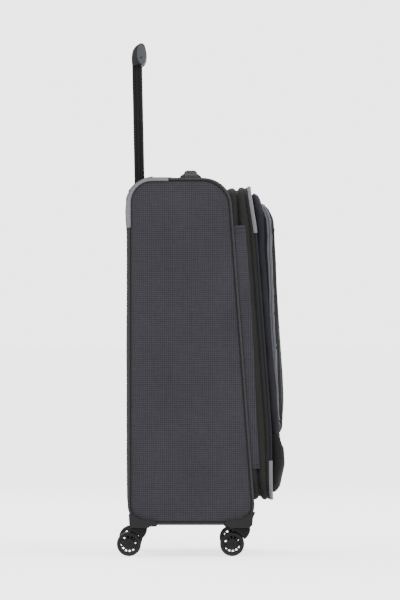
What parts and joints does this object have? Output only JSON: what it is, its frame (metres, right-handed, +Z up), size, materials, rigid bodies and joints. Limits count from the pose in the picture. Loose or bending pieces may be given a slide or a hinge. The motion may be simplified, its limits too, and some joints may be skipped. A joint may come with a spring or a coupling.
{
  "type": "softside spinner suitcase",
  "caption": "Upright softside suitcase with a side-hinged lid, expansion zip, telescopic trolley handle and twin-wheel swivel casters.",
  "frame": {"origin": "on the floor, under the middle of the case's width, 119 mm behind the foot of the leaning front plane", "axes": "+Z up, -Y towards the lid's front, -X towards the lid's hinge"},
  "size_m": [0.5055, 0.3422, 1.0565],
  "materials": {
    "check_fabric": "fine two-tone check weave",
    "plain_fabric": "plain woven polyester",
    "zip_tape": "black zip tape with coil",
    "gusset_cloth": "black cloth",
    "piping": "covered cord",
    "grey_trim": "light grey ribbed tape",
    "webbing": "padded webbing",
    "lining_board": "honeycomb plastic board",
    "spring_wire": "drawn wire",
    "guard_plastic": "moulded black plastic",
    "tray_plastic": "moulded black plastic",
    "tube_metal": "dark anodised",
    "grip_plastic": "soft-touch black",
    "grip_pad": "grey soft rubber",
    "button_plastic": "satin",
    "pin_steel": "ground",
    "wheel_plastic": "moulded, with polyurethane tread",
    "fork_plastic": "moulded black plastic",
    "zip_metal": "gunmetal plate"
  },
  "bodies": {
    "case": {"left_side_panel": "check_fabric", "right_side_panel": "check_fabric", "top_panel": "plain_fabric", "back_panel": "plain_fabric", "bottom_panel": "plain_fabric", "front_frame": "plain_fabric", "frame_wire": "spring_wire", "side_pipings": "piping", "rear_corner_trims": "grey_trim", "back_board": "lining_board", "base_board": "lining_board", "trolley_foot_bracket": "tray_plastic", "top_handle": "webbing", "side_handle": "webbing", "handle_anchors": "webbing", "trolley_tray": "tray_plastic", "trolley_outer_tubes": "tube_metal", "rear_corner_guards": "guard_plastic", "front_corner_guards": "guard_plastic", "main_zip_case_tape": "zip_tape", "hinge_strip_case": "check_fabric"},
    "lid_rim": {"main_zip_lid_tape": "zip_tape", "expander_rear_tape": "zip_tape", "hinge_strip_lid": "check_fabric", "gusset_inner_band": "gusset_cloth"},
    "lid_front": {"expander_front_tape": "zip_tape", "gusset_outer_band": "gusset_cloth", "lid_panel": "plain_fabric", "lid_piping": "piping", "lid_corner_trims": "grey_trim", "front_pocket": "plain_fabric", "lower_pocket": "plain_fabric"},
    "trolley": {"trolley_inner_tubes": "tube_metal", "trolley_grip": "grip_plastic", "grip_pad": "grip_pad"},
    "button": {"grip_button": "button_plastic"},
    "lock_pins": {"lock_pins": "pin_steel"},
    "rear_left_fork": {"rear_left_fork": "fork_plastic"},
    "rear_left_outer_wheel": {"rear_left_outer_wheel": "wheel_plastic"},
    "rear_left_inner_wheel": {"rear_left_inner_wheel": "wheel_plastic"},
    "rear_right_fork": {"rear_right_fork": "fork_plastic"},
    "rear_right_outer_wheel": {"rear_right_outer_wheel": "wheel_plastic"},
    "rear_right_inner_wheel": {"rear_right_inner_wheel": "wheel_plastic"},
    "front_left_fork": {"front_left_fork": "fork_plastic"},
    "front_left_outer_wheel": {"front_left_outer_wheel": "wheel_plastic"},
    "front_left_inner_wheel": {"front_left_inner_wheel": "wheel_plastic"},
    "front_right_fork": {"front_right_fork": "fork_plastic"},
    "front_right_outer_wheel": {"front_right_outer_wheel": "wheel_plastic"},
    "front_right_inner_wheel": {"front_right_inner_wheel": "wheel_plastic"},
    "upper_main_slider": {"upper_main_slider": "zip_metal"},
    "upper_main_pull": {"upper_main_pull": "zip_metal"},
    "lower_main_slider": {"lower_main_slider": "zip_metal"},
    "lower_main_pull": {"lower_main_pull": "zip_metal"},
    "expander_slider": {"expander_slider": "zip_metal"},
    "expander_pull": {"expander_pull": "zip_metal"},
    "front_pocket_slider": {"front_pocket_slider": "zip_metal"},
    "front_pocket_pull": {"front_pocket_pull": "zip_metal"},
    "lower_pocket_slider": {"lower_pocket_slider": "zip_metal"},
    "lower_pocket_pull": {"lower_pocket_pull": "zip_metal"}
  },
  "joints": [
    {"name": "lid_hinge", "type": "hinge", "parent": "case", "child": "lid_rim", "pos_m": [-0.244, -0.1, 0.42474], "axis": [0, -0.075, -0.9972], "range_deg": [0, 170]},
    {"name": "expansion_step", "type": "slide", "parent": "lid_rim", "child": "lid_front", "axis": [0, -0.9972, 0.075], "range_m": [0, 0.038]},
    {"name": "trolley_slide", "type": "slide", "parent": "case", "child": "trolley", "axis": [0, 0.0204, 0.9998], "range_m": [-0.27, 0]},
    {"name": "button_press", "type": "slide", "parent": "trolley", "child": "button", "axis": [0, 0.0204, 0.9998], "range_m": [0, 0.003], "stiffness_N_per_m": 600},
    {"name": "pin_release", "type": "slide", "parent": "trolley", "child": "lock_pins", "axis": [0, -0.9998, 0.0204], "range_m": [0, 0.002]},
    {"name": "rear_left_swivel", "type": "hinge", "parent": "case", "child": "rear_left_fork", "pos_m": [-0.205, 0.13, 0.05], "axis": [0, 0, 1], "continuous": true},
    {"name": "rear_left_outer_roll", "type": "hinge", "parent": "rear_left_fork", "child": "rear_left_outer_wheel", "pos_m": [-0.215, 0.146, 0.025], "axis": [1, 0, 0], "continuous": true},
    {"name": "rear_left_inner_roll", "type": "hinge", "parent": "rear_left_fork", "child": "rear_left_inner_wheel", "pos_m": [-0.195, 0.146, 0.025], "axis": [1, 0, 0], "continuous": true},
    {"name": "rear_right_swivel", "type": "hinge", "parent": "case", "child": "rear_right_fork", "pos_m": [0.205, 0.13, 0.05], "axis": [0, 0, 1], "continuous": true},
    {"name": "rear_right_outer_roll", "type": "hinge", "parent": "rear_right_fork", "child": "rear_right_outer_wheel", "pos_m": [0.215, 0.146, 0.025], "axis": [1, 0, 0], "continuous": true},
    {"name": "rear_right_inner_roll", "type": "hinge", "parent": "rear_right_fork", "child": "rear_right_inner_wheel", "pos_m": [0.195, 0.146, 0.025], "axis": [1, 0, 0], "continuous": true},
    {"name": "front_left_swivel", "type": "hinge", "parent": "case", "child": "front_left_fork", "pos_m": [-0.205, -0.082, 0.05], "axis": [0, 0, 1], "continuous": true},
    {"name": "front_left_outer_roll", "type": "hinge", "parent": "front_left_fork", "child": "front_left_outer_wheel", "pos_m": [-0.215, -0.066, 0.025], "axis": [1, 0, 0], "continuous": true},
    {"name": "front_left_inner_roll", "type": "hinge", "parent": "front_left_fork", "child": "front_left_inner_wheel", "pos_m": [-0.195, -0.066, 0.025], "axis": [1, 0, 0], "continuous": true},
    {"name": "front_right_swivel", "type": "hinge", "parent": "case", "child": "front_right_fork", "pos_m": [0.205, -0.082, 0.05], "axis": [0, 0, 1], "continuous": true},
    {"name": "front_right_outer_roll", "type": "hinge", "parent": "front_right_fork", "child": "front_right_outer_wheel", "pos_m": [0.215, -0.066, 0.025], "axis": [1, 0, 0], "continuous": true},
    {"name": "front_right_inner_roll", "type": "hinge", "parent": "front_right_fork", "child": "front_right_inner_wheel", "pos_m": [0.195, -0.066, 0.025], "axis": [1, 0, 0], "continuous": true},
    {"name": "upper_main_zip", "type": "slide", "parent": "case", "child": "upper_main_slider", "axis": [0, 0.075, 0.9972], "range_m": [0, 0.2]},
    {"name": "upper_main_flip", "type": "hinge", "parent": "upper_main_slider", "child": "upper_main_pull", "pos_m": [0.2439, -0.09542, 0.48557], "axis": [0, -0.9972, 0.075], "range_deg": [0, 165]},
    {"name": "lower_main_zip", "type": "slide", "parent": "case", "child": "lower_main_slider", "axis": [0, 0.075, 0.9972], "range_m": [-0.2, 0]},
    {"name": "lower_main_flip", "type": "hinge", "parent": "lower_main_slider", "child": "lower_main_pull", "pos_m": [0.2439, -0.09887, 0.4397], "axis": [0, -0.9972, 0.075], "range_deg": [0, 165]},
    {"name": "expander_zip", "type": "slide", "parent": "lid_rim", "child": "expander_slider", "axis": [0, 0.075, 0.9972], "range_m": [0, 0.38]},
    {"name": "expander_flip", "type": "hinge", "parent": "expander_slider", "child": "expander_pull", "pos_m": [0.2439, -0.13426, 0.25182], "axis": [0, -0.9972, 0.075], "range_deg": [0, 165]},
    {"name": "front_pocket_zip", "type": "slide", "parent": "lid_front", "child": "front_pocket_slider", "axis": [0, 0.0461, 0.9989], "range_m": [-0.385, 0]},
    {"name": "front_pocket_flip", "type": "hinge", "parent": "front_pocket_slider", "child": "front_pocket_pull", "pos_m": [-0.196, -0.15208, 0.67018], "axis": [-1, 0, 0], "range_deg": [0, 165]},
    {"name": "lower_pocket_zip", "type": "slide", "parent": "lid_front", "child": "lower_pocket_slider", "axis": [1, 0, 0], "range_m": [-0.33, 0]},
    {"name": "lower_pocket_flip", "type": "hinge", "parent": "lower_pocket_slider", "child": "lower_pocket_pull", "pos_m": [0.15, -0.16677, 0.24223], "axis": [0, 0.075, 0.9972], "range_deg": [0, 165]}
  ],
  "couplings": [
    {"joint": "pin_release", "follows": "button_press", "ratio": 0.66667}
  ]
}
